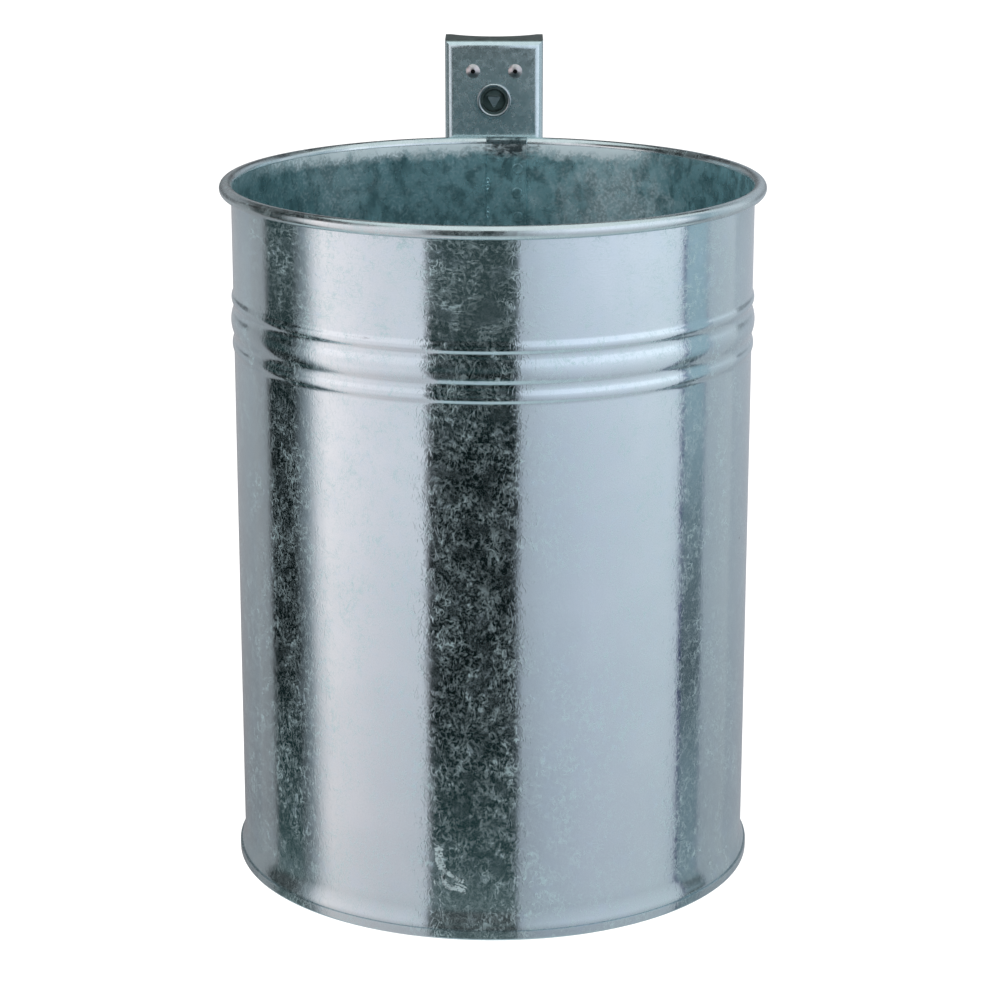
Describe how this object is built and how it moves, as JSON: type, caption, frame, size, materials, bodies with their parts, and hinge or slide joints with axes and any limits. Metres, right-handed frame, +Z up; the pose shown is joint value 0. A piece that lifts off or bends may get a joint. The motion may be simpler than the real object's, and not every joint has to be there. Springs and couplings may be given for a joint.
{
  "type": "hanging litter bin",
  "caption": "Round galvanised sheet-metal litter bin with rolled rim, swaged beads and seamed foot, hooked on a wall or post rail and held by a key-operated cam lock.",
  "frame": {"origin": "middle of the two wall screw holes, on the front face of the rail's crown", "axes": "+Z up along the rail, -Y forward out of the wall towards the can, +X to the right as seen from the front"},
  "size_m": [0.3396, 0.378, 0.504],
  "materials": {
    "galvanised_sheet": "hot-dip galvanised, mottled spangle, semi-bright",
    "hanger_zinc": "hot-dip galvanised, dull and darker than the can",
    "zinc_plated": "zinc plated",
    "rivet_aluminium": "plain bright",
    "lock_nickel": "nickel plated, satin",
    "gasket_rubber": "matt black",
    "rim_wire_steel": "plain drawn wire"
  },
  "bodies": {
    "wall_holder": {"wall_rail": "galvanised_sheet", "lock_keeper": "zinc_plated", "keeper_rivets": "rivet_aluminium"},
    "can": {"body_shell": "galvanised_sheet", "rim_wire": "rim_wire_steel", "bottom_plate": "galvanised_sheet", "upper_saddle": "galvanised_sheet", "lower_saddle": "galvanised_sheet", "weld_studs": "zinc_plated", "stud_washers": "zinc_plated", "stud_nuts": "zinc_plated", "hanger_channel": "hanger_zinc", "hook_plate": "zinc_plated", "hook_rivets": "rivet_aluminium", "lock_housing": "lock_nickel", "lock_gasket": "gasket_rubber", "lock_nut": "zinc_plated"},
    "lock": {"lock_spindle": "lock_nickel", "lock_tongue": "zinc_plated", "tongue_washer": "zinc_plated", "tongue_screw": "zinc_plated"}
  },
  "joints": [
    {"name": "bin_lift", "type": "slide", "parent": "wall_holder", "child": "can", "axis": [0, 0, 1], "range_m": [0, 0.04]},
    {"name": "lock_turn", "type": "hinge", "parent": "can", "child": "lock", "pos_m": [0, -0.0125, 0.094], "axis": [0, -1, 0], "range_deg": [0, 90]}
  ]
}
